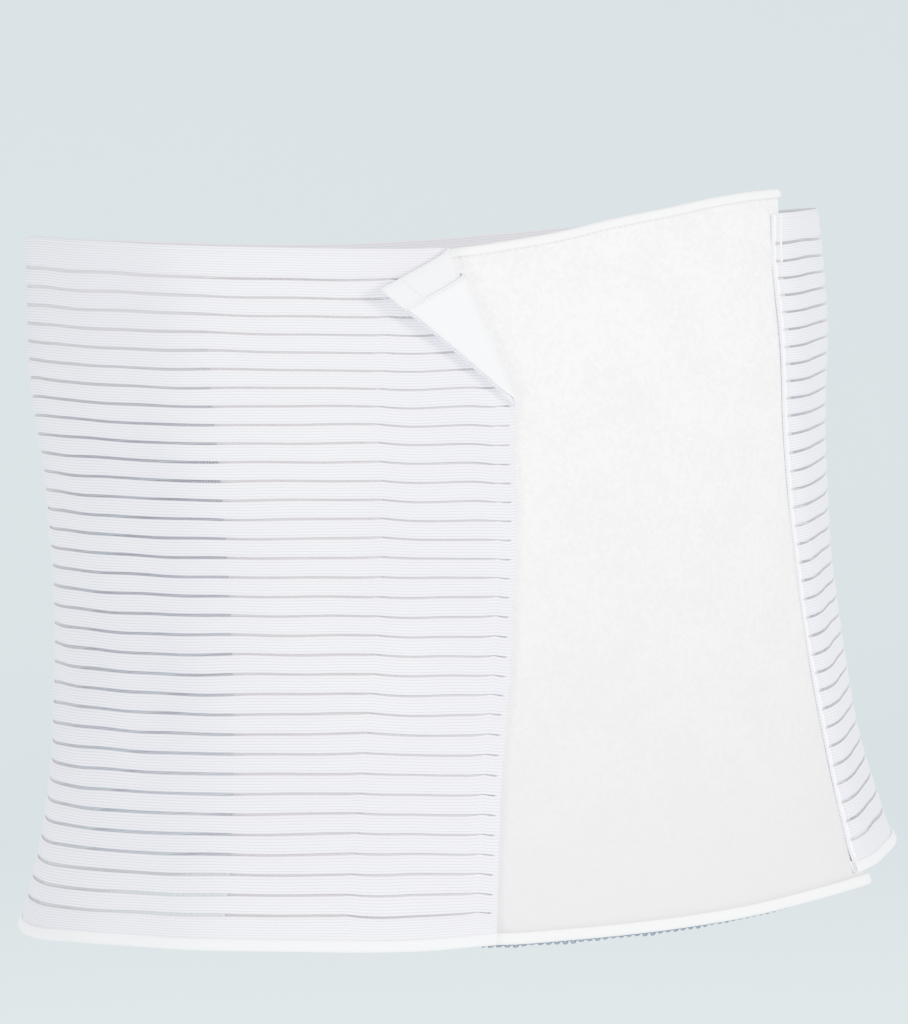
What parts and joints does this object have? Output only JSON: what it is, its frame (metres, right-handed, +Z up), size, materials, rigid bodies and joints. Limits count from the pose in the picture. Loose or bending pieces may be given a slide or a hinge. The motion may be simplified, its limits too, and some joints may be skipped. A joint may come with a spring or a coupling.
{
  "type": "abdominal binder",
  "caption": "Ribbed elastic abdominal binder wrapped round an open torso space, with a padded loop panel, a hook strip and a turned-back corner.",
  "frame": {"origin": "on the upright axis of the torso space, halfway up the binder", "axes": "+Z up, the wearer faces -Y and the wearer's left is +X"},
  "size_m": [0.3776, 0.2673, 0.2959],
  "materials": {
    "ribbed_elastic": "matte knitted elastic",
    "wrap_binding": "matte folded binding",
    "hook_tape": "satin moulded hooks",
    "loop_velour": "matte brushed loop",
    "panel_top_binding": "matte folded binding",
    "panel_low_binding": "matte folded binding"
  },
  "bodies": {
    "root": {"elastic_wrap": "ribbed_elastic", "wrap_low_binding": "wrap_binding", "hook_strip": "hook_tape", "loop_panel": "loop_velour", "panel_top_binding": "panel_top_binding", "panel_low_binding": "panel_low_binding"}
  },
  "joints": []
}
